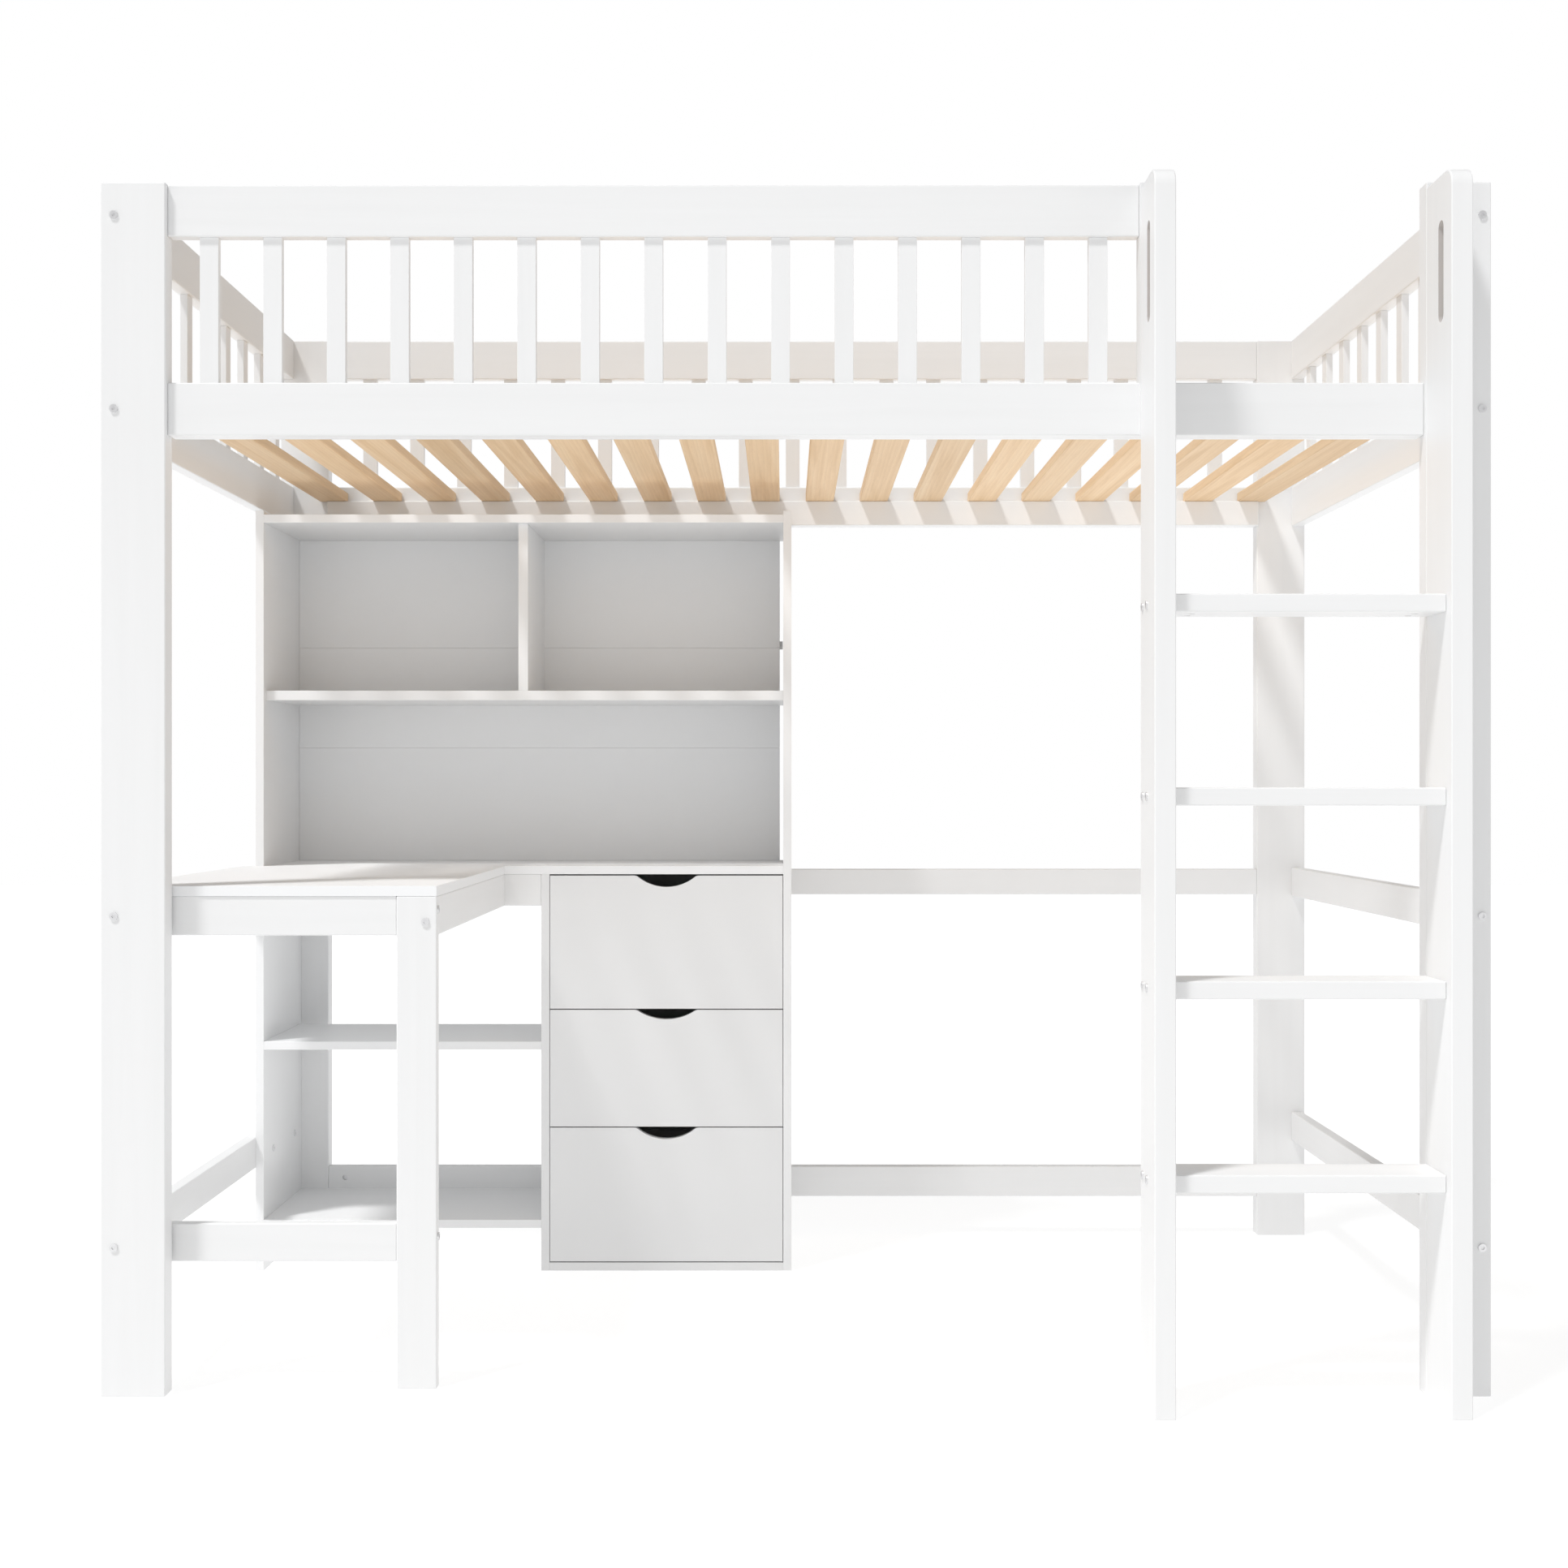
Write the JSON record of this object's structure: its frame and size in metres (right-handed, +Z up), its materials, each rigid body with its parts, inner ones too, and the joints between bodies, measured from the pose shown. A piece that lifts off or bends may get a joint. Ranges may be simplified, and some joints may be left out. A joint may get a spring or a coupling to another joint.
{
  "type": "loft bed with desk",
  "caption": "Loft bed on four flat posts with a slatted base, baluster guards and a front ladder, over an L-shaped desk with open shelves and a chest of sliding drawers.",
  "frame": {"origin": "on the floor, under the centre of the bounding box", "axes": "+X along the bed, towards the ladder end; -Y is the front; +Z up"},
  "size_m": [2.0234, 1.1742, 1.764],
  "materials": {
    "white_painted_wood": "satin white paint on solid wood",
    "white_panel": "satin white foil on board",
    "white_front_panel": "satin white foil on board",
    "natural_wood": "planed, unpainted",
    "zinc_steel": "zinc plated",
    "runner_steel": "zinc plated sheet"
  },
  "bodies": {
    "frame": {"barrel_nuts": "zinc_steel", "bed_slats": "natural_wood", "cabinet_back_panel": "white_panel", "cabinet_bottom_panel": "white_panel", "cabinet_left_panel": "white_panel", "connector_bolts": "zinc_steel", "desk_foot_rail": "white_painted_wood", "desk_front_apron": "white_painted_wood", "desk_leg": "white_painted_wood", "desk_rear_apron": "white_painted_wood", "desk_return_top": "white_panel", "desk_side_apron": "white_painted_wood", "front_balusters": "white_painted_wood", "front_guard_rail": "white_painted_wood", "front_guard_stile": "white_painted_wood", "front_left_post": "white_painted_wood", "front_right_post": "white_painted_wood", "front_side_rail": "white_painted_wood", "hutch_back_boards": "white_panel", "ladder_left_side": "white_painted_wood", "ladder_right_side": "white_painted_wood", "ladder_step_bolts": "zinc_steel", "ladder_steps": "white_painted_wood", "left_end_balusters": "white_painted_wood", "left_end_guard_rail": "white_painted_wood", "left_end_side_rail": "white_painted_wood", "left_end_stretchers": "white_painted_wood", "panel_screws": "zinc_steel", "rear_balusters": "white_painted_wood", "rear_guard_rail": "white_painted_wood", "rear_left_post": "white_painted_wood", "rear_lower_stretcher": "white_painted_wood", "rear_right_post": "white_painted_wood", "rear_side_rail": "white_painted_wood", "rear_upper_stretcher": "white_painted_wood", "right_end_balusters": "white_painted_wood", "right_end_guard_rail": "white_painted_wood", "right_end_side_rail": "white_painted_wood", "right_end_stretchers": "white_painted_wood", "runner_channels": "runner_steel", "slat_ledgers": "white_painted_wood", "slat_screws": "zinc_steel", "unit_bottom_shelf": "white_panel", "unit_desk_shelf": "white_panel", "unit_divider": "white_panel", "unit_left_panel": "white_panel", "unit_low_shelf": "white_panel", "unit_middle_shelf": "white_panel", "unit_right_panel": "white_panel", "unit_top_panel": "white_panel"},
    "bottom_drawer": {"bottom_drawer_front": "white_front_panel", "bottom_drawer_box": "white_panel", "bottom_drawer_runners": "runner_steel"},
    "middle_drawer": {"middle_drawer_front": "white_front_panel", "middle_drawer_box": "white_panel", "middle_drawer_runners": "runner_steel"},
    "top_drawer": {"top_drawer_front": "white_front_panel", "top_drawer_box": "white_panel", "top_drawer_runners": "runner_steel"}
  },
  "joints": [
    {"name": "bottom_drawer_slide", "type": "slide", "parent": "frame", "child": "bottom_drawer", "axis": [0, -1, 0], "range_m": [0, 0.2]},
    {"name": "middle_drawer_slide", "type": "slide", "parent": "frame", "child": "middle_drawer", "axis": [0, -1, 0], "range_m": [0, 0.2]},
    {"name": "top_drawer_slide", "type": "slide", "parent": "frame", "child": "top_drawer", "axis": [0, -1, 0], "range_m": [0, 0.2]}
  ]
}
